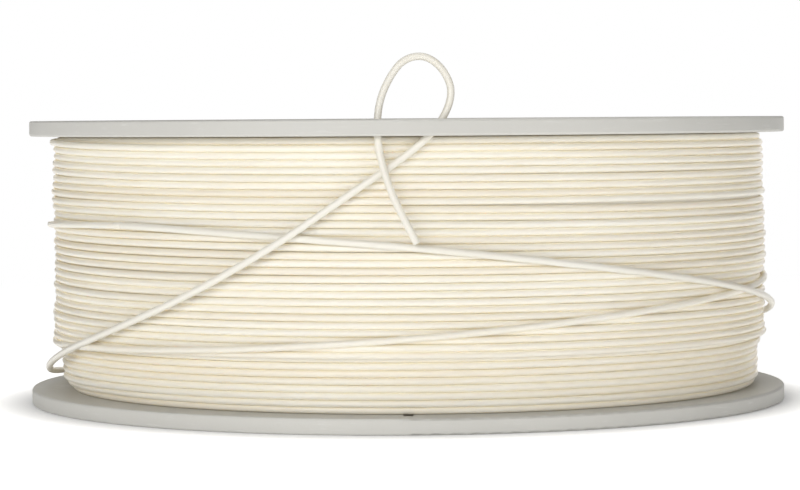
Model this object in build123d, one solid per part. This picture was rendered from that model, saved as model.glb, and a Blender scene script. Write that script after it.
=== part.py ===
from build123d import *
import math
import os

# A full spool of 1.75 mm printer filament, standing on its lower flange. Millimetres.
# +Z runs up the spool's axis, the origin is the centre of the bottom face, and the free end
# of the filament is tied off on the -Y side. Angles of the filament are degrees about +Z,
# counted from -Y towards +X.

# ---- spool body -------------------------------------------------------------------------
FLANGE_R = 100.0                        # both flanges are 200 mm across
SPOOL_WIDTH = 74.4                      # outer face to outer face
RIM_T = 4.0                             # flange thickness at the rim
RIM_WALL = 2.2                          # radial width of the raised rim on the outer face
RIM_EDGE_R = 0.6                        # rounding of the rim's two edges
WEB_T = 2.6                             # flange thickness between the ribs
PLATEAU_T = 3.5                         # flange thickness round the hub, where the label sits
PLATEAU_R = 62.0
RIB_COUNT = 12
RIB_WIDTH = 1.6
RIB_SINK = 0.4                          # the ribs stop this far short of the rim's face
ROOT = 0.5                              # ribs and keys are rooted this deep in their walls
FIT_GAP = 0.1                           # clearance between parts that plug together
CUT_OVER = 2.0                          # cutting solids run this far past what they cut

# ---- hub and barrel ---------------------------------------------------------------------
BORE_R = 26.0                           # 52 mm bore for the holder's spindle
SLEEVE_WALL = 2.0
LIP_R = 31.2                            # lip that stops the sleeve in the lower flange
LIP_T = 1.1
SLEEVE_SINK = 0.5                       # the sleeve's ends lie this far inside the faces
FINGER_COUNT = 6                        # snap fingers at the sleeve's upper end
FINGER_SLIT = 2.0
FINGER_LENGTH = 14.0
BARB_REACH = 1.2
BARB_EDGE = 0.3                         # height of the barb's blunt edge
BARREL_R = 52.5                         # the filament is wound on this radius
BARREL_WALL = 2.5
SPIGOT_WALL = 2.0
SPIGOT_HEIGHT = 3.5                     # ring on each flange that the barrel slides over
COLLAR_HEIGHT = 4.0                     # ring on each flange that guides the sleeve
KEY_ANGLES = (0, 120, 240)              # barrel keys that stop the flanges from turning
KEY_WIDTH = 3.0
KEY_REACH = 3.5
KEY_GAP = 0.3                           # clearance each side of a key in its notch

# ---- tie-off holes and slot, one set in each flange --------------------------------------
TIE_HOLE_R = 2.4
TIE_HOLE_X = 6.3                        # the pair sits this far each side of the centre line
TIE_HOLE_Y = 94.9
SLOT_WIDTH = 2.4
SLOT_INNER_R = 87.0
SLOT_OUTER_R = 94.0

# ---- labels -----------------------------------------------------------------------------
LABEL_INNER_R = 34.0
LABEL_OUTER_R = 60.0
LABEL_T = 0.12

# ---- filament ---------------------------------------------------------------------------
STRAND_D = 1.75
PACKAGE_SIDE_GAP = 0.3                  # between the wound filament and each flange
ANCHOR_ANGLE = 200.0                    # where the filament's first end enters the barrel
ANCHOR_Z = 12.0
ANCHOR_HOLE_R = 1.3
ANCHOR_DEPTH = 7.0
ANCHOR_TAIL = 22.0
ANCHOR_BEND_R = 4.0

# The wound package's outer surface near each flange: (distance from its inner face, radius).
LOWER_SHOULDER = ((PACKAGE_SIDE_GAP, 90.3), (3.6, 91.9), (8.0, 93.3))
UPPER_SHOULDER = ((PACKAGE_SIDE_GAP, 91.6), (2.0, 92.8), (5.0, 93.3))

# The free end's route. It lifts off the package at the front left, runs once round the
# package as the last loose turn, (angle, radius, height), and climbs to the tie-off hole.
LAST_TURN = (
    (-48, 94.5, 48.6),
    (-37, 95.6, 48.2),
    (-19, 95.8, 46.5),
    (1, 96.9, 44.1),
    (22, 97.2, 40.0),
    (45, 97.3, 35.1),
    (68, 98.1, 29.6),
    (90, 98.7, 23.2),
    (112, 98.0, 17.9),
    (135, 97.2, 15.2),
    (158, 97.2, 13.2),
    (181, 97.2, 11.4),
    (204, 97.1, 9.6),
    (227, 96.6, 7.6),
    (248, 95.9, 6.3),
    (266, 96.1, 6.7),
    (280, 96.2, 10.4),
    (296, 96.9, 16.2),
    (312, 97.5, 23.0),
    (328, 97.9, 32.7),
    (342, 97.5, 45.3),
    (352.5, 96.3, 57.4),
    (359.6, 95.3, 65.2),
)

# Then it passes up one hole, over in a loop, down the other, and ends cut off: (x, y, z).
TIE_LOOP = (
    (7.5, -95.0, 72.2),
    (11.2, -94.7, 80.0),
    (9.1, -94.0, 85.9),
    (4.6, -93.4, 89.5),
    (-0.6, -93.3, 88.6),
    (-4.0, -93.6, 84.2),
    (-6.3, -94.3, 78.9),
    (-7.0, -95.2, 73.0),
    (-6.6, -96.4, 67.2),
    (-5.2, -97.6, 61.6),
    (-3.2, -98.3, 56.0),
    (-0.5, -98.6, 50.5),
    (2.3, -98.5, 45.1),
)


def on_spool(angle, radius, height):
    """The point at an angle from -Y towards +X, in degrees, a radius and a height."""
    turn = math.radians(angle)
    return Vector(radius * math.sin(turn), -radius * math.cos(turn), height)


def ring(outer_r, inner_r, bottom, top):
    """A plain tube wall about the Z axis."""
    height = top - bottom
    align = (Align.CENTER, Align.CENTER, Align.MIN)
    wall = Cylinder(outer_r, height, align=align) - Cylinder(inner_r, height, align=align)
    return Pos(0, 0, bottom) * wall


def turned(points):
    """A solid of revolution about Z from (radius, height) points."""
    outline = Polyline(*[(r, 0, z) for r, z in points], close=True)
    return revolve(make_face(outline), Axis.Z)


def flange_disc():
    """The flange's round body, outer face down at z = 0 and inner face at z = RIM_T."""
    sleeve_r = BORE_R + SLEEVE_WALL + FIT_GAP
    counterbore_r = LIP_R + FIT_GAP
    counterbore_z = SLEEVE_SINK + LIP_T + FIT_GAP
    recess_r = FLANGE_R - RIM_WALL
    plateau_z = RIM_T - PLATEAU_T
    web_z = RIM_T - WEB_T
    spigot_r = BARREL_R - BARREL_WALL - FIT_GAP
    spigot_top = RIM_T + SPIGOT_HEIGHT
    collar_top = RIM_T + COLLAR_HEIGHT
    disc = turned([
        (sleeve_r, counterbore_z),
        (counterbore_r, counterbore_z),
        (counterbore_r, plateau_z),
        (PLATEAU_R, plateau_z),
        (PLATEAU_R, web_z),
        (recess_r, web_z),
        (recess_r, 0),
        (FLANGE_R, 0),
        (FLANGE_R, RIM_T),
        (spigot_r, RIM_T),
        (spigot_r, spigot_top),
        (spigot_r - SPIGOT_WALL, spigot_top),
        (spigot_r - SPIGOT_WALL, RIM_T),
        (sleeve_r + SPIGOT_WALL, RIM_T),
        (sleeve_r + SPIGOT_WALL, collar_top),
        (sleeve_r, collar_top),
    ])
    rim_edges = disc.edges().filter_by(GeomType.CIRCLE).filter_by(
        lambda edge: math.isclose(edge.radius, FLANGE_R)
    )
    return fillet(rim_edges, RIM_EDGE_R)


def flange_ribs():
    """Radial ribs across the recess in the flange's outer face."""
    length = FLANGE_R - RIM_WALL - PLATEAU_R + 2 * ROOT
    height = WEB_T - RIB_SINK
    middle_r = (FLANGE_R - RIM_WALL + PLATEAU_R) / 2
    rib = Pos(middle_r, 0, RIB_SINK + height / 2) * Box(length, RIB_WIDTH, height)
    step = 360 / RIB_COUNT
    return [Rot(0, 0, (i + 0.5) * step) * rib for i in range(RIB_COUNT)]


def flange():
    """One flange moulding as it lies at the bottom of the spool, slot at -Y, holes at +Y."""
    through = RIM_T + 2 * CUT_OVER
    body = flange_disc()
    for rib in flange_ribs():
        body += rib
    notch = Box(2 * KEY_REACH, KEY_WIDTH + 2 * KEY_GAP, SPIGOT_HEIGHT)
    notch_r = BARREL_R - BARREL_WALL - SPIGOT_WALL / 2
    for angle in KEY_ANGLES:
        body -= Rot(0, 0, angle) * Pos(notch_r, 0, RIM_T + SPIGOT_HEIGHT / 2) * notch
    for side in (-1, 1):
        body -= Pos(side * TIE_HOLE_X, TIE_HOLE_Y, RIM_T / 2) * Cylinder(TIE_HOLE_R, through)
    slot = Box(SLOT_WIDTH, SLOT_OUTER_R - SLOT_INNER_R, through)
    body -= Pos(0, -(SLOT_INNER_R + SLOT_OUTER_R) / 2, RIM_T / 2) * slot
    return body


def upper(piece):
    """The same piece turned over onto the spool's other end."""
    return Pos(0, 0, SPOOL_WIDTH) * Rot(180, 0, 0) * piece


def barrel():
    """The tube that the filament is wound on, with three keys and the anchor hole."""
    bottom = RIM_T + FIT_GAP / 2
    top = SPOOL_WIDTH - bottom
    inner_r = BARREL_R - BARREL_WALL
    body = ring(BARREL_R, inner_r, bottom, top)
    key = Box(KEY_REACH + ROOT, KEY_WIDTH, top - bottom)
    for angle in KEY_ANGLES:
        body += Rot(0, 0, angle) * Pos(inner_r + (ROOT - KEY_REACH) / 2, 0, SPOOL_WIDTH / 2) * key
    inside = on_spool(ANCHOR_ANGLE, inner_r - CUT_OVER, ANCHOR_Z)
    across = Plane(origin=inside, z_dir=on_spool(ANCHOR_ANGLE, 1, 0))
    return body - extrude(across * Circle(ANCHOR_HOLE_R), BARREL_WALL + 2 * CUT_OVER)


def hub_sleeve():
    """The bored tube through the hub: a lip below, snap fingers with barbs above."""
    outer_r = BORE_R + SLEEVE_WALL
    bottom = SLEEVE_SINK
    top = SPOOL_WIDTH - SLEEVE_SINK
    barb_z = top - LIP_T
    body = turned([
        (BORE_R, bottom),
        (LIP_R, bottom),
        (LIP_R, bottom + LIP_T),
        (outer_r, bottom + LIP_T),
        (outer_r, barb_z),
        (outer_r + BARB_REACH, barb_z),
        (outer_r + BARB_REACH, barb_z + BARB_EDGE),
        (outer_r, top),
        (BORE_R, top),
    ])
    slit = Box(4 * SLEEVE_WALL, FINGER_SLIT, FINGER_LENGTH + CUT_OVER)
    slit_z = top + (CUT_OVER - FINGER_LENGTH) / 2
    for i in range(FINGER_COUNT):
        body -= Rot(0, 0, i * 360 / FINGER_COUNT) * Pos(outer_r, 0, slit_z) * slit
    return body


def label():
    """A blank ring-shaped paper label on the plateau of the lower flange's outer face."""
    plateau_z = RIM_T - PLATEAU_T
    return ring(LABEL_OUTER_R, LABEL_INNER_R, plateau_z - LABEL_T, plateau_z)


def filament_package():
    """The wound filament as one closed ring, a little thinner towards the flanges."""
    inner_r = BARREL_R + FIT_GAP
    bottom = RIM_T + PACKAGE_SIDE_GAP
    top = SPOOL_WIDTH - bottom
    lower = [(r, RIM_T + gap) for gap, r in LOWER_SHOULDER]
    higher = [(r, SPOOL_WIDTH - RIM_T - gap) for gap, r in reversed(UPPER_SHOULDER)]
    return turned([(inner_r, bottom)] + lower + higher + [(inner_r, top)])


def tube(points, radii):
    """A round strand along straight runs joined by tangent arcs, and its path."""
    path = FilletPolyline(*points, radius=radii)
    section = Plane(origin=path @ 0, z_dir=path % 0) * Circle(STRAND_D / 2)
    return sweep(section, path=path), path


def filament_start():
    """The filament's first end, through the barrel's wall and bent up inside it."""
    outside = on_spool(ANCHOR_ANGLE, BARREL_R + FIT_GAP / 2, ANCHOR_Z)
    corner = on_spool(ANCHOR_ANGLE, BARREL_R - ANCHOR_DEPTH, ANCHOR_Z)
    end = corner + Vector(0, 0, ANCHOR_TAIL)
    return tube([outside, corner, end], [ANCHOR_BEND_R])[0]


def arc_radii(points):
    """For each corner of a route, 0.45 of its shorter run over the tangent of half its turn."""
    radii = []
    for before, corner, after in zip(points, points[1:], points[2:]):
        arriving = corner - before
        leaving = after - corner
        half_turn = math.radians(arriving.get_angle(leaving)) / 2
        radii.append(0.45 * min(arriving.length, leaving.length) / math.tan(half_turn))
    return radii


def filament_end():
    """The free end: one loose turn, the loop through the tie-off holes and the cut tail."""
    points = [on_spool(*place) for place in LAST_TURN] + [Vector(*place) for place in TIE_LOOP]
    radii = arc_radii(points)
    body, path = tube(points, radii)
    section = math.pi * STRAND_D ** 2 / 4
    print("free end: length", round(path.length, 1), "mm, arc radii", [round(r, 1) for r in radii])
    print("free end: volume over section times length", round(body.volume / (section * path.length), 4))
    return body


def main():
    pieces = {
        "lower_flange": flange(),
        "upper_flange": upper(flange()),
        "barrel": barrel(),
        "hub_sleeve": hub_sleeve(),
        "lower_label": label(),
        "upper_label": upper(label()),
        "filament_package": filament_package(),
        "filament_start": filament_start(),
        "filament_end": filament_end(),
    }
    os.makedirs("parts", exist_ok=True)
    for name, piece in pieces.items():
        export_step(piece, f"parts/{name}.step")


if __name__ == "__main__":
    main()
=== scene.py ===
# A full spool of cream printer filament on a pale floor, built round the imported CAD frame.
# Blender objects are in metres. The winding is worked out in millimetres and in turns, and is
# turned into metres where its mesh is made. Angles are degrees about +Z, from -Y towards +X.
import math

import bpy
import numpy as np
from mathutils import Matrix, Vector


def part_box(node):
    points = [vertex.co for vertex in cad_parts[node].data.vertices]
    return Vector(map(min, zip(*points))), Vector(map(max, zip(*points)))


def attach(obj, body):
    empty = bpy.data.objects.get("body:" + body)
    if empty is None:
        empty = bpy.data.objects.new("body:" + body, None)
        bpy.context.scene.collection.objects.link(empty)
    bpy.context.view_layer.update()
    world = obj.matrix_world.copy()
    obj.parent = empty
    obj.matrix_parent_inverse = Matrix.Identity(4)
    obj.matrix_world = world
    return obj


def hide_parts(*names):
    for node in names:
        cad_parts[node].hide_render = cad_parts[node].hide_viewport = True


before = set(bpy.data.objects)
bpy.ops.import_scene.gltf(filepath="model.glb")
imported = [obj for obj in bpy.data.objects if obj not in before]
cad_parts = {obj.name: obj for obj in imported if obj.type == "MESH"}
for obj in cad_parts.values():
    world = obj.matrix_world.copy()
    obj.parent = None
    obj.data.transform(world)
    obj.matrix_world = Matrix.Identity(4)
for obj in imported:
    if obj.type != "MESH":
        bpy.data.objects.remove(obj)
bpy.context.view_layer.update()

MM = 0.001

# ---- sizes that come from the frame, in millimetres --------------------------------------
RIM_T = 4.0
LOWER_INNER_Z = RIM_T
UPPER_INNER_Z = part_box("upper_flange")[1][2] / MM - RIM_T
BARREL_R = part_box("barrel")[1][0] / MM
STRAND_D = 1.75
LAYER_STEP = STRAND_D * 0.87    # a strand lying in the groove between two others is this far out

# ---- how the outer layers are wound ------------------------------------------------------
SEED = 12
STATIONS = 180                  # points along one turn
STRETCH = 45                    # stations that are laid at a time
LOOK_AHEAD = 27                 # further stations that are tried but not kept
PITCH = 1.79                    # the guide's travel per turn
SIDE_GAP = 0.10                 # between the first strand and the lower flange
TOP_GAP = 0.25                  # between the last strand and the upper flange
FULL_PASSES = 3                 # whole trips between the flanges before the last, short one
LAST_PASS_Z = 17.8              # the last trip comes down to here, and the strand breaks away
CORE_R = 88.10                  # centre radius of the first simulated layer, mid-width
LOWER_SHOULDER = (3.3, 3.0)     # how much lower it is right beside a flange, over what width
UPPER_SHOULDER = (4.2, 1.5)
FULLER_ANGLE = 80.0             # the package is wound a little fuller on this side
FULLER_BY = 0.80
MEMORY_TURNS = 118              # older turns are buried and can't be touched

WAVES = 40
WANDER_MM = 0.45                # how far the strand strays from the guide
WANDER_LOBES = 4                # waves in one turn, at most
WANDER_DRIFT = 0.04             # how little the waves change from turn to turn
WANDER_FADE = 12                # how fast they die out in the last turn, per turn
SLACK_CYCLES = (0.05, 2.6)      # slack waves in one turn

SETTLE_STEPS = 26
SETTLE_STEP = 0.07
SETTLE_PROBE = 0.06
FRICTION = 0.30                 # a strand slides sideways only on a slope steeper than this
GUIDE_PULL = 0.05
SLACK_MM = 0.18                 # how far a slack stretch stands off what it lies on
JOIN_FADE = 20                  # how fast a new stretch leaves the last one's height, per turn
BEND_STATIONS = 4.0             # stiffness: stations over which one settling step evens out
LIFT_STATIONS = 2.2             # the same for its height over the strands below
LIFT_STEPS = 14

# Where the last wound turn runs once it breaks away from the layer: (angle, height).
BREAKAWAY_ANGLE = -60.0
BREAKAWAY = (
    (-60, 17.8),
    (-30, 18.2),
    (-10, 20.0),
    (10, 23.3),
    (35, 27.8),
    (60, 31.1),
    (85, 32.9),
    (130, 36.2),
    (190, 40.7),
    (250, 45.6),
    (280, 48.2),
    (297, 48.9),
    (312, 48.6),
)
BREAKAWAY_R = 94.7              # it lies on the last layer, pressed in a little
BREAKAWAY_END = (94.5, 48.6)    # radius and height where the free end carries on
BREAKAWAY_BLEND = 30            # stations over which it comes to these
BREAKAWAY_BEND = 5              # stations over which its corners are rounded
BREAKAWAY_SMOOTH = 6            # and over which it bridges the layer's bumps
PRESS_SMOOTH = 1.5              # stations over which a pressed strand recovers
NOWHERE = -1e3                  # the height of turns before the first one

TUBE_SIDES = 12
CAP_R = 0.02                    # a strand's end face closes down to this radius
RIDGE_STEPS = 6                 # points across one ridge of the core

# ---- the free end's route, the same points as the CAD tube ------------------------------
LAST_TURN = (
    (-48, 0.0945, 0.0486),
    (-37, 0.0956, 0.0482),
    (-19, 0.0958, 0.0465),
    (1, 0.0969, 0.0441),
    (22, 0.0972, 0.0400),
    (45, 0.0973, 0.0351),
    (68, 0.0981, 0.0296),
    (90, 0.0987, 0.0232),
    (112, 0.0980, 0.0179),
    (135, 0.0972, 0.0152),
    (158, 0.0972, 0.0132),
    (181, 0.0972, 0.0114),
    (204, 0.0971, 0.0096),
    (227, 0.0966, 0.0076),
    (248, 0.0959, 0.0063),
    (266, 0.0961, 0.0067),
    (280, 0.0962, 0.0104),
    (296, 0.0969, 0.0162),
    (312, 0.0975, 0.0230),
    (328, 0.0979, 0.0327),
    (342, 0.0975, 0.0453),
    (352.5, 0.0963, 0.0574),
    (359.6, 0.0953, 0.0652),
)
TIE_LOOP = (
    (0.0075, -0.0950, 0.0722),
    (0.0112, -0.0947, 0.0800),
    (0.0091, -0.0940, 0.0859),
    (0.0046, -0.0934, 0.0895),
    (-0.0006, -0.0933, 0.0886),
    (-0.0040, -0.0936, 0.0842),
    (-0.0063, -0.0943, 0.0789),
    (-0.0070, -0.0952, 0.0730),
    (-0.0066, -0.0964, 0.0672),
    (-0.0052, -0.0976, 0.0616),
    (-0.0032, -0.0983, 0.0560),
    (-0.0005, -0.0986, 0.0505),
    (0.0023, -0.0985, 0.0451),
)


# ---- camera -----------------------------------------------------------------------------

def add_camera():
    """The photograph's view: level with the upper flange, a long lens, tilted slightly down."""
    data = bpy.data.cameras.new("camera")
    data.sensor_width = 36.0
    data.lens = 136.2
    data.clip_start = 0.05
    data.clip_end = 40.0
    camera = bpy.data.objects.new("camera", data)
    camera.location = (0.0, -0.8088, 0.0751)
    camera.rotation_euler = [math.radians(a) for a in (87.559, 0.401, 0.120)]
    bpy.context.collection.objects.link(camera)
    bpy.context.scene.camera = camera


# ---- the free end -----------------------------------------------------------------------

def on_spool(angle, radius, height):
    """The point at an angle from -Y towards +X, in degrees, a radius and a height."""
    turn = math.radians(angle)
    return (radius * math.sin(turn), -radius * math.cos(turn), height)


def free_end_points():
    return [on_spool(*place) for place in LAST_TURN] + list(TIE_LOOP)


def add_free_end(material):
    """The filament's free end: one smooth curve along the CAD tube's route."""
    curve = bpy.data.curves.new("free_end", "CURVE")
    curve.dimensions = "3D"
    curve.bevel_depth = STRAND_D * MM / 2
    curve.bevel_resolution = 8
    curve.use_fill_caps = True
    spline = curve.splines.new("NURBS")
    points = free_end_points()
    spline.points.add(len(points) - 1)
    for point, place in zip(spline.points, points):
        point.co = (*place, 1.0)
    spline.order_u = 3
    spline.use_endpoint_u = True
    spline.resolution_u = 14
    curve.materials.append(material)
    strand = bpy.data.objects.new("free_end", curve)
    bpy.context.collection.objects.link(strand)
    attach(strand, "root")
    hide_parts("filament_end")
    return strand


def free_end_line(strand):
    """Points along the free end's smooth line, read from its spline, in millimetres."""
    line = strand.data.copy()
    line.bevel_depth = 0
    guide = bpy.data.objects.new("free_end_line", line)
    mesh = bpy.data.meshes.new_from_object(guide)
    points = np.array([vertex.co for vertex in mesh.vertices]) / MM
    bpy.data.objects.remove(guide)
    bpy.data.curves.remove(line)
    bpy.data.meshes.remove(mesh)
    return points


# ---- winding ----------------------------------------------------------------------------

def smoothed(values, width):
    """A moving average with a bell-shaped window; the ends are held."""
    reach = int(3 * width)
    window = np.exp(-0.5 * (np.arange(-reach, reach + 1) / width) ** 2)
    padded = np.pad(values, reach, mode="edge")
    return np.convolve(padded, window / window.sum(), mode="valid")


def core_radius(angle, z):
    """Centre radius of the first simulated layer: lower beside the flanges, not quite round."""
    radius = CORE_R + FULLER_BY * np.cos(np.radians(angle - FULLER_ANGLE))
    for beside, (drop, width) in (
        (z - LOWER_INNER_Z, LOWER_SHOULDER),
        (UPPER_INNER_Z - z, UPPER_SHOULDER),
    ):
        radius = radius - drop * np.exp(-np.maximum(beside, 0) / width)
    return radius


def guide_path():
    """The guide's height at every station, and the station where the strand breaks away."""
    low = LOWER_INNER_Z + SIDE_GAP + STRAND_D / 2
    high = UPPER_INNER_Z - TOP_GAP - STRAND_D / 2
    span = high - low
    travel = FULL_PASSES * span + (high - LAST_PASS_Z)
    breakaway = int(round(travel / PITCH * STATIONS))
    along = np.arange(breakaway) / STATIONS * PITCH
    folded = np.mod(along, 2 * span)
    height = low + np.where(folded < span, folded, 2 * span - folded)
    angles, heights = np.array(BREAKAWAY, float).T
    more = np.arange(int(round((angles[-1] - angles[0]) * STATIONS / 360)) + 1)
    loose = np.interp(angles[0] + more * 360 / STATIONS, angles, heights)
    path = np.concatenate([height, smoothed(loose, BREAKAWAY_BEND)])
    return path, breakaway, low, high


def waves(count, cycles, rng):
    """A sum of waves along the strand, given by their cycles per turn, about 1 high."""
    turns = np.arange(count) / STATIONS
    phase = rng.uniform(0, 2 * math.pi, len(cycles))
    height = rng.uniform(0.4, 1.0, len(cycles)) / (0.5 + np.abs(cycles))
    swing = np.sin(2 * math.pi * cycles[:, None] * turns + phase[:, None])
    total = (height[:, None] * swing).sum(0)
    return total / total.std()


def rest_radius(z, below_z, below_r, floor_r):
    """The radius at which a strand at height z touches what was wound before it."""
    room = STRAND_D ** 2 - (z - below_z) ** 2
    touching = np.where(room > 0, below_r + np.sqrt(np.maximum(room, 0)), 0.0)
    return np.maximum(touching.max(axis=0), floor_r)


def wind():
    """Lays the strand stretch by stretch on what is already there: its heights and radii."""
    rng = np.random.default_rng(SEED)
    guide, breakaway, low, high = guide_path()
    angle = BREAKAWAY_ANGLE + (np.arange(len(guide)) - breakaway) * 360 / STATIONS
    lobes = rng.integers(0, WANDER_LOBES, WAVES)
    drift = rng.uniform(-WANDER_DRIFT, WANDER_DRIFT, WAVES)
    stray = WANDER_MM * waves(len(guide), lobes + drift, rng)
    stray[breakaway:] *= np.exp(-np.arange(len(guide) - breakaway) / STATIONS * WANDER_FADE)
    slack = SLACK_MM * np.maximum(waves(len(guide), rng.uniform(*SLACK_CYCLES, WAVES), rng), 0)
    target = np.clip(guide + stray, low, high)
    z = target.copy()
    r = core_radius(angle, z)
    back = STATIONS * np.arange(1, MEMORY_TURNS + 1)[:, None]
    for start in range(0, len(z), STRETCH):
        end = min(start + STRETCH, len(z))
        ahead = slice(start, min(end + LOOK_AHEAD, len(z)))
        before = slice(max(start - STRETCH, 0), start)
        older = np.arange(ahead.start, ahead.stop)[None, :] - back
        below_z = np.where(older >= 0, z[older], NOWHERE)
        below_r = np.where(older >= 0, r[older], 0.0)
        here = z[ahead].copy()
        if start:
            fade = np.exp(-np.arange(len(here)) / STATIONS * JOIN_FADE)
            here += (z[start - 1] - here[0]) * fade
        sliding = start < breakaway - STRETCH
        for _ in range(SETTLE_STEPS):
            floor_r = core_radius(angle[ahead], here)
            lean = rest_radius(here + SETTLE_PROBE, below_z, below_r, floor_r)
            lean -= rest_radius(here - SETTLE_PROBE, below_z, below_r, floor_r)
            lean /= 2 * SETTLE_PROBE
            slide = np.clip(lean, -1, 1) * (np.abs(lean) > FRICTION) * sliding
            here += GUIDE_PULL * (target[ahead] - here) - SETTLE_STEP * slide
            joined = smoothed(np.concatenate([z[before], here]), BEND_STATIONS)
            here = np.clip(joined[len(z[before]):], low, high)
        touch = rest_radius(here, below_z, below_r, core_radius(angle[ahead], here)) + slack[ahead]
        lift = touch.copy()
        for _ in range(LIFT_STEPS):
            joined = smoothed(np.concatenate([r[before], lift]), LIFT_STATIONS)
            lift = np.maximum(joined[len(r[before]):], touch)
        z[ahead] = here
        r[ahead] = lift
    lay_breakaway(z, r, breakaway)
    return angle, z, r, breakaway


def lay_breakaway(z, r, breakaway):
    """Presses the last turn down onto the layer and leads its end to where the free end starts."""
    lifted = np.clip((np.arange(len(r)) - breakaway) / BREAKAWAY_BLEND, 0, 1)
    r += (np.minimum(BREAKAWAY_R, smoothed(r, BREAKAWAY_SMOOTH)) - r) * lifted
    nearing = np.clip((np.arange(len(r)) - (len(r) - 1 - BREAKAWAY_BLEND)) / BREAKAWAY_BLEND, 0, 1)
    r += (BREAKAWAY_END[0] - r[-1]) * nearing ** 2
    z += (BREAKAWAY_END[1] - z[-1]) * nearing ** 2


def loose_turns(line):
    """Angle, radius and height along the part of a free line that runs round the package."""
    around = np.degrees(np.unwrap(np.arctan2(line[:, 0], -line[:, 1])))
    round_package = slice(0, int(np.argmax(around)) + 1)
    radius = np.hypot(line[:, 0], line[:, 1])
    return around[round_package], radius[round_package], line[round_package, 2]


def press_under(over, angle, z, r):
    """The radii of wound strands, held back where they would reach into a strand over them."""
    over_angle, over_r, over_z = over
    limit = np.full(len(r), np.inf)
    for offset in (0, 360):
        place = np.mod(angle - over_angle[0], 360) + over_angle[0] + offset
        gap = z - np.interp(place, over_angle, over_z)
        room = np.sqrt(np.maximum(STRAND_D ** 2 - gap ** 2, 0))
        under = np.interp(place, over_angle, over_r) - room
        crossing = (np.abs(gap) < STRAND_D) & (place < over_angle[-1])
        limit = np.where(crossing, np.minimum(limit, under), limit)
    pressed = np.minimum(r, limit)
    return np.minimum(smoothed(pressed, PRESS_SMOOTH), limit)


def add_mesh(name, points, faces, material, flat_ends=0):
    """A mesh object from arrays of points, in metres, and faces of one size, smooth-shaded
    but for a number of faces at each end of the list."""
    mesh = bpy.data.meshes.new(name)
    mesh.vertices.add(len(points))
    mesh.vertices.foreach_set("co", np.asarray(points, np.float32).ravel())
    faces = np.asarray(faces, np.int32)
    mesh.loops.add(faces.size)
    mesh.loops.foreach_set("vertex_index", faces.ravel())
    mesh.polygons.add(len(faces))
    mesh.polygons.foreach_set("loop_start", np.arange(len(faces), dtype=np.int32) * faces.shape[1])
    mesh.update(calc_edges=True)
    smooth = np.full(len(faces), True)
    smooth[:flat_ends] = False
    smooth[len(faces) - flat_ends:] = False
    mesh.polygons.foreach_set("use_smooth", smooth)
    mesh.validate()
    mesh.materials.append(material)
    piece = bpy.data.objects.new(name, mesh)
    bpy.context.collection.objects.link(piece)
    return piece


def grid_faces(rows, columns, closed_rows=False):
    """Four-cornered faces over a grid of points whose columns close into a ring."""
    first = np.arange(rows if closed_rows else rows - 1)[:, None] * columns
    after = (first + columns) % (rows * columns)
    here = np.arange(columns)[None, :]
    beside = (here + 1) % columns
    corners = [first + here, after + here, after + beside, first + beside]
    return np.stack(corners, axis=-1).reshape(-1, 4)


def strand_mesh(name, angle, z, r, tone, material):
    """A closed tube of the strand's diameter along stations given by angle, height and radius.
    Its points carry the strand's tone, which changes slowly along it."""
    turn = np.radians(angle)
    outward = np.stack([np.sin(turn), -np.cos(turn), np.zeros_like(turn)], axis=1)
    centre = outward * r[:, None] + np.array([0, 0, 1.0]) * z[:, None]
    along = np.gradient(centre, axis=0)
    along /= np.linalg.norm(along, axis=1)[:, None]
    side = np.cross(along, outward)
    side /= np.linalg.norm(side, axis=1)[:, None]
    out = np.cross(side, along)
    around = np.arange(TUBE_SIDES) * 2 * math.pi / TUBE_SIDES
    ring = np.cos(around)[None, :, None] * out[:, None, :]
    ring = ring + np.sin(around)[None, :, None] * side[:, None, :]
    wall = centre[:, None, :] + ring * STRAND_D / 2
    closed_start = centre[:1, None, :] + ring[:1] * CAP_R
    closed_end = centre[-1:, None, :] + ring[-1:] * CAP_R
    points = np.concatenate([closed_start, wall, closed_end]).reshape(-1, 3) * MM
    piece = add_mesh(name, points, grid_faces(len(z) + 2, TUBE_SIDES), material, TUBE_SIDES)
    tones = np.repeat(np.concatenate([tone[:1], tone, tone[-1:]]), TUBE_SIDES)
    stored = piece.data.attributes.new("tone", "FLOAT", "POINT")
    stored.data.foreach_set("value", tones.astype(np.float32))
    return piece


def add_core(material):
    """The deeper layers as one closed ring, ridged outside like the strands it stands for."""
    low = LOWER_INNER_Z + SIDE_GAP
    high = UPPER_INNER_Z - TOP_GAP
    ridges = int((high - low) / STRAND_D)
    height = np.linspace(low, high, ridges * RIDGE_STEPS + 1)
    across = np.mod(np.arange(len(height)) / RIDGE_STEPS, 1.0) * 2 - 1
    bulge = np.sqrt(np.maximum(1 - across ** 2, 0)) * STRAND_D / 2
    angle = np.arange(STATIONS)[:, None] * 360 / STATIONS
    outer_r = core_radius(angle, height[None, :]) - LAYER_STEP + bulge
    inner_r = np.full((STATIONS, 1), BARREL_R + SIDE_GAP)
    radius = np.concatenate([inner_r, outer_r, inner_r], axis=1)
    x = np.sin(np.radians(angle)) * radius
    y = -np.cos(np.radians(angle)) * radius
    z = np.broadcast_to(np.concatenate([[low], height, [high]]), x.shape)
    points = np.stack([x, y, z], axis=-1).reshape(-1, 3) * MM
    faces = grid_faces(STATIONS, radius.shape[1], closed_rows=True)[:, ::-1]
    return add_mesh("wound_core", points, faces, material)


def layer_cuts(angle, z):
    """Stations where the drawn winding is parted: at the end of each pass, round the back."""
    pass_turns = (UPPER_INNER_Z - LOWER_INNER_Z - STRAND_D - SIDE_GAP - TOP_GAP) / PITCH
    ends = (np.arange(1, FULL_PASSES + 1) * pass_turns * STATIONS).astype(int)
    past_back = np.mod(angle[ends] - 180, 360) / 360 * STATIONS
    return [*(ends - past_back.astype(int)), len(z) - 1]


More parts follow.
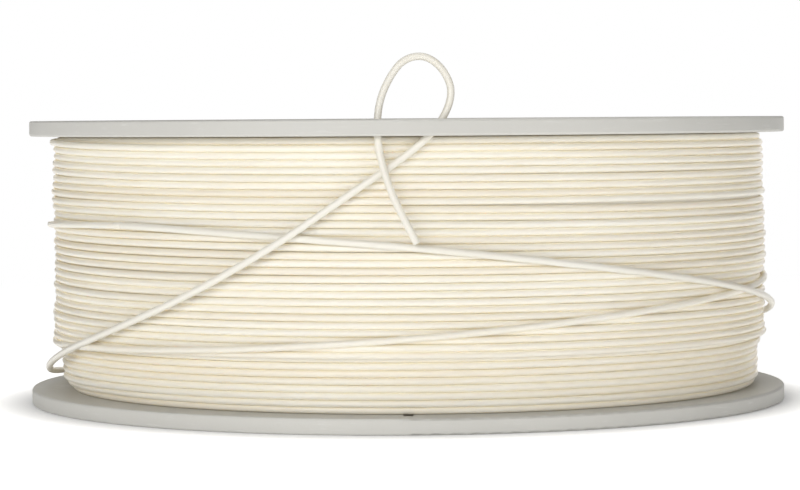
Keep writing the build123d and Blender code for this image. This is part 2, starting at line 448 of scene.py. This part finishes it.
def add_winding(material, line):
    """The strands of the outer layers, one piece for each trip of the guide, and their core."""
    angle, z, r, breakaway = wind()
    wound = slice(0, breakaway)
    loose = slice(breakaway, len(z))
    for over in (loose_turns(line), (angle[loose], r[loose], z[loose])):
        r[wound] = press_under(over, angle[wound], z[wound], r[wound])
    rng = np.random.default_rng(SEED + 1)
    tone = np.abs(waves(len(z), rng.uniform(*SLACK_CYCLES, WAVES), rng))
    tone[loose] *= np.linspace(1, 0, len(z) - breakaway)
    pieces = [add_core(material)]
    cuts = layer_cuts(angle, z)
    for number, (first, last) in enumerate(zip(cuts, cuts[1:]), 1):
        part = slice(first, last + 1)
        name = f"wound_layer_{number}"
        pieces.append(strand_mesh(name, angle[part], z[part], r[part], tone[part], material))
    for piece in pieces:
        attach(piece, "root")
        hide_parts("filament_package")


# ---- materials --------------------------------------------------------------------------

FILAMENT_PAINTED_GLOW = 0.07            # painted glow: the filament gives off faint light of its own, standing for light that comes through the thick package
DEEPEST_TONE = 2.5              # the winding's tone at which the filament is yellowest
LABEL_BORDERS = (0.0355, 0.0585)
LABEL_LINE = 0.0006


def new_material(name):
    material = bpy.data.materials.new(name)
    material.use_nodes = True
    return material, material.node_tree.nodes, material.node_tree.links


def object_place(nodes, links, scale=(1, 1, 1)):
    """Object coordinates in metres, stretched by a scale along each axis."""
    place = nodes.new("ShaderNodeTexCoord")
    stretch = nodes.new("ShaderNodeMapping")
    stretch.inputs["Scale"].default_value = scale
    links.new(place.outputs["Object"], stretch.inputs["Vector"])
    return stretch.outputs["Vector"]


def noise(nodes, links, place, scale, detail=2.0, roughness=0.5):
    texture = nodes.new("ShaderNodeTexNoise")
    texture.inputs["Scale"].default_value = scale
    texture.inputs["Detail"].default_value = detail
    texture.inputs["Roughness"].default_value = roughness
    links.new(place, texture.inputs["Vector"])
    return texture.outputs["Fac"]


def between(nodes, links, fac, low, high, from_low=0.3, from_high=0.7):
    """A factor brought from the middle of a noise's range into a range of its own."""
    fit = nodes.new("ShaderNodeMapRange")
    fit.inputs["From Min"].default_value = from_low
    fit.inputs["From Max"].default_value = from_high
    fit.inputs["To Min"].default_value = low
    fit.inputs["To Max"].default_value = high
    links.new(fac, fit.inputs["Value"])
    return fit.outputs["Result"]


def mixed(nodes, links, fac, first, second):
    """A colour between two, each given as a colour or as a node's output."""
    mix = nodes.new("ShaderNodeMix")
    mix.data_type = "RGBA"
    links.new(fac, mix.inputs["Factor"])
    for socket, colour in ((mix.inputs["A"], first), (mix.inputs["B"], second)):
        if isinstance(colour, tuple):
            socket.default_value = (*colour, 1)
        else:
            links.new(colour, socket)
    return mix.outputs["Result"]


def bumped(nodes, links, height, distance, strength, under=None):
    bump = nodes.new("ShaderNodeBump")
    bump.inputs["Distance"].default_value = distance
    bump.inputs["Strength"].default_value = strength
    links.new(height, bump.inputs["Height"])
    if under is not None:
        links.new(under, bump.inputs["Normal"])
    return bump.outputs["Normal"]


def filament_material(name, scatter):
    """Natural, slightly milky extruded plastic, a little yellower where the tone is deeper. The
    scatter is the share of light that passes through the plastic. A faint warm painted glow, light
    given off by the plastic itself, brightens it all over."""
    material, nodes, links = new_material(name)
    shader = nodes["Principled BSDF"]
    shader.subsurface_method = "BURLEY"
    shader.inputs["IOR"].default_value = 1.53
    shader.inputs["Specular IOR Level"].default_value = 0.6
    shader.inputs["Subsurface Weight"].default_value = scatter
    shader.inputs["Subsurface Radius"].default_value = (1.0, 0.85, 0.55)
    shader.inputs["Subsurface Scale"].default_value = 0.0012
    # painted glow: the filament gives off a faint warm light of its own
    shader.inputs["Emission Color"].default_value = (1.0, 0.84, 0.56, 1)
    shader.inputs["Emission Strength"].default_value = FILAMENT_PAINTED_GLOW
    place = object_place(nodes, links)
    cloud = between(nodes, links, noise(nodes, links, place, 34, 3), 0, 1)
    colour = mixed(nodes, links, cloud, (0.735, 0.720, 0.665), (0.715, 0.690, 0.620))
    tone = nodes.new("ShaderNodeAttribute")
    tone.attribute_name = "tone"
    deeper = between(nodes, links, tone.outputs["Fac"], 0, 1, 0, DEEPEST_TONE)
    colour = mixed(nodes, links, deeper, colour, (0.695, 0.655, 0.570))
    fleck = between(nodes, links, noise(nodes, links, place, 900, 2), 0, 0.2, 0.62, 0.8)
    colour = mixed(nodes, links, fleck, colour, (0.68, 0.64, 0.55))
    links.new(colour, shader.inputs["Base Color"])
    gloss = noise(nodes, links, place, 160, 3)
    links.new(between(nodes, links, gloss, 0.32, 0.46), shader.inputs["Roughness"])
    grain = noise(nodes, links, place, 700, 1)
    links.new(bumped(nodes, links, grain, 0.00003, 0.10), shader.inputs["Normal"])
    return material


def plastic_material():
    """Light warm grey moulded plastic with a fine matt grain, a little scuffed all over in faint
    lighter streaks.
    """
    material, nodes, links = new_material("light_grey_plastic")
    shader = nodes["Principled BSDF"]
    shader.inputs["IOR"].default_value = 1.5
    shader.inputs["Specular IOR Level"].default_value = 0.4
    shader.inputs["Subsurface Weight"].default_value = 0.15
    shader.inputs["Subsurface Radius"].default_value = (1.0, 0.95, 0.85)
    shader.inputs["Subsurface Scale"].default_value = 0.0006
    place = object_place(nodes, links)
    flow = between(nodes, links, noise(nodes, links, place, 22, 4), 0, 1)
    tone = mixed(nodes, links, flow, (0.600, 0.591, 0.553), (0.570, 0.560, 0.523))
    speck = between(nodes, links, noise(nodes, links, place, 1100, 2), 0, 0.5, 0.58, 0.8)
    tone = mixed(nodes, links, speck, tone, (0.57, 0.555, 0.51))
    scuffs = noise(nodes, links, object_place(nodes, links, (90, 90, 900)), 1, 4, 0.65)
    scuffs = between(nodes, links, scuffs, 0, 0.4, 0.60, 0.75)
    tone = mixed(nodes, links, scuffs, tone, (0.75, 0.745, 0.72))
    links.new(tone, shader.inputs["Base Color"])
    links.new(between(nodes, links, flow, 0.54, 0.66, 0, 1), shader.inputs["Roughness"])
    grain = noise(nodes, links, place, 1700, 3, 0.6)
    ripple = noise(nodes, links, place, 55, 2)
    normal = bumped(nodes, links, ripple, 0.0004, 0.12)
    links.new(bumped(nodes, links, grain, 0.00005, 0.35, normal), shader.inputs["Normal"])
    return material


def paper_material():
    """Blank coated paper with a faint fibre and a thin printed border at each edge."""
    material, nodes, links = new_material("label_paper")
    shader = nodes["Principled BSDF"]
    shader.inputs["Specular IOR Level"].default_value = 0.3
    place = object_place(nodes, links)
    fibre = noise(nodes, links, object_place(nodes, links, (700, 260, 400)), 1, 5, 0.7)
    weave = between(nodes, links, fibre, 0, 1)
    tone = mixed(nodes, links, weave, (0.80, 0.795, 0.77), (0.75, 0.742, 0.71))
    across = nodes.new("ShaderNodeVectorMath")
    across.operation = "LENGTH"
    flat = object_place(nodes, links, (1, 1, 0))
    links.new(flat, across.inputs[0])
    for radius in LABEL_BORDERS:
        line = nodes.new("ShaderNodeMath")
        line.operation = "COMPARE"
        line.inputs[1].default_value = radius
        line.inputs[2].default_value = LABEL_LINE / 2
        links.new(across.outputs["Value"], line.inputs[0])
        tone = mixed(nodes, links, line.outputs["Value"], tone, (0.20, 0.21, 0.22))
    links.new(tone, shader.inputs["Base Color"])
    gloss = noise(nodes, links, place, 240, 3)
    links.new(between(nodes, links, gloss, 0.52, 0.68), shader.inputs["Roughness"])
    links.new(bumped(nodes, links, fibre, 0.00004, 0.4), shader.inputs["Normal"])
    return material


def paint(node, material):
    """Gives a CAD node its material."""
    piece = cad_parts[node]
    piece.data.materials.clear()
    piece.data.materials.append(material)


# ---- surroundings -----------------------------------------------------------------------

FLOOR_R = 14.0
FLOOR_FADE = (0.14, 0.6)        # the pale floor turns into an even white between these radii
FLOOR_SHADE_TO_GLOW = (0.097, 0.112)     # and glows evenly from here outwards; the glow is left out under the spool and close round its rim, a painted shade there
FLOOR_GLOW_STRENGTH = 0.60
FLOOR_SIDES = 96
AMBIENT = 0.13
LIGHT_AIM = (0, 0, 0.04)
LIGHTS = (                      # name, place, size and watts
    ("key", (-0.75, -1.45, 0.57), (1.2, 0.5), 10.6),
    ("front", (-0.1, -1.7, 0.46), (1.4, 0.5), 5.1),
    ("fill", (1.2, -1.1, 0.12), (0.8, 0.3), 3.6),
    ("back", (0.2, 1.8, 0.32), (1.6, 0.5), 5.5),
    ("top", (0.0, 0.0, 1.6), (0.6, 0.6), 6.5),
)


def add_floor():
    """A pale floor that fades into the white background all round, with a painted shade under and
    just round the spool where its glow is left out.
    """
    turn = np.arange(FLOOR_SIDES) * 2 * math.pi / FLOOR_SIDES
    rim = [(FLOOR_R * math.cos(a), FLOOR_R * math.sin(a), 0.0) for a in turn]
    mesh = bpy.data.meshes.new("floor")
    mesh.from_pydata(rim, [], [tuple(range(FLOOR_SIDES))])
    floor = bpy.data.objects.new("floor", mesh)
    bpy.context.collection.objects.link(floor)
    material, nodes, links = new_material("pale_floor")
    material.cycles.emission_sampling = "NONE"
    shader = nodes["Principled BSDF"]
    shader.inputs["Base Color"].default_value = (0.86, 0.86, 0.86, 1)
    shader.inputs["Roughness"].default_value = 0.8
    shader.inputs["Emission Color"].default_value = (1, 1, 1, 1)
    place = nodes.new("ShaderNodeTexCoord")
    distance = nodes.new("ShaderNodeVectorMath")
    distance.operation = "LENGTH"
    away = distance.outputs["Value"]
    # painted shade: no glow under the spool and close round its rim, so the floor looks shaded
    # there and the flange's slot shows dark
    glow = between(nodes, links, away, 0, FLOOR_GLOW_STRENGTH, *FLOOR_SHADE_TO_GLOW)
    links.new(glow, shader.inputs["Emission Strength"])
    fade = nodes.new("ShaderNodeMapRange")
    fade.interpolation_type = "SMOOTHSTEP"
    fade.inputs["From Min"].default_value = FLOOR_FADE[0]
    fade.inputs["From Max"].default_value = FLOOR_FADE[1]
    white = nodes.new("ShaderNodeEmission")
    white.inputs["Color"].default_value = (1, 1, 1, 1)
    mix = nodes.new("ShaderNodeMixShader")
    links.new(place.outputs["Object"], distance.inputs[0])
    links.new(away, fade.inputs["Value"])
    links.new(fade.outputs["Result"], mix.inputs["Fac"])
    links.new(shader.outputs["BSDF"], mix.inputs[1])
    links.new(white.outputs["Emission"], mix.inputs[2])
    links.new(mix.outputs["Shader"], nodes["Material Output"].inputs["Surface"])
    mesh.materials.append(material)


def add_world():
    """A white surround as the camera sees it, and a dimmer one that lights the object."""
    world = bpy.data.worlds.new("studio")
    world.use_nodes = True
    nodes = world.node_tree.nodes
    links = world.node_tree.links
    ambient = nodes["Background"]
    ambient.inputs["Color"].default_value = (1, 1, 1, 1)
    ambient.inputs["Strength"].default_value = AMBIENT
    backdrop = nodes.new("ShaderNodeBackground")
    backdrop.inputs["Color"].default_value = (1, 1, 1, 1)
    backdrop.inputs["Strength"].default_value = 1.0
    ray = nodes.new("ShaderNodeLightPath")
    mix = nodes.new("ShaderNodeMixShader")
    links.new(ray.outputs["Is Camera Ray"], mix.inputs["Fac"])
    links.new(ambient.outputs["Background"], mix.inputs[1])
    links.new(backdrop.outputs["Background"], mix.inputs[2])
    links.new(mix.outputs["Shader"], nodes["World Output"].inputs["Surface"])
    bpy.context.scene.world = world


def add_light(name, place, size, power):
    data = bpy.data.lights.new(name, "AREA")
    data.shape = "RECTANGLE"
    data.size, data.size_y = size
    data.energy = power
    light = bpy.data.objects.new(name, data)
    light.location = place
    aim = Vector(LIGHT_AIM) - Vector(place)
    light.rotation_euler = aim.to_track_quat("-Z", "Y").to_euler()
    bpy.context.collection.objects.link(light)


def add_surroundings():
    add_floor()
    add_world()
    for light in LIGHTS:
        add_light(*light)
    bpy.context.scene.view_settings.view_transform = "Standard"


def main():
    add_camera()
    loose_filament = filament_material("loose_filament", 0.1)
    strand = add_free_end(loose_filament)
    add_winding(filament_material("wound_filament", 1.0), free_end_line(strand))
    plastic = plastic_material()
    for node in ("lower_flange", "upper_flange", "barrel", "hub_sleeve"):
        paint(node, plastic)
    paper = paper_material()
    for node in ("lower_label", "upper_label"):
        paint(node, paper)
    paint("filament_start", loose_filament)
    add_surroundings()


main()
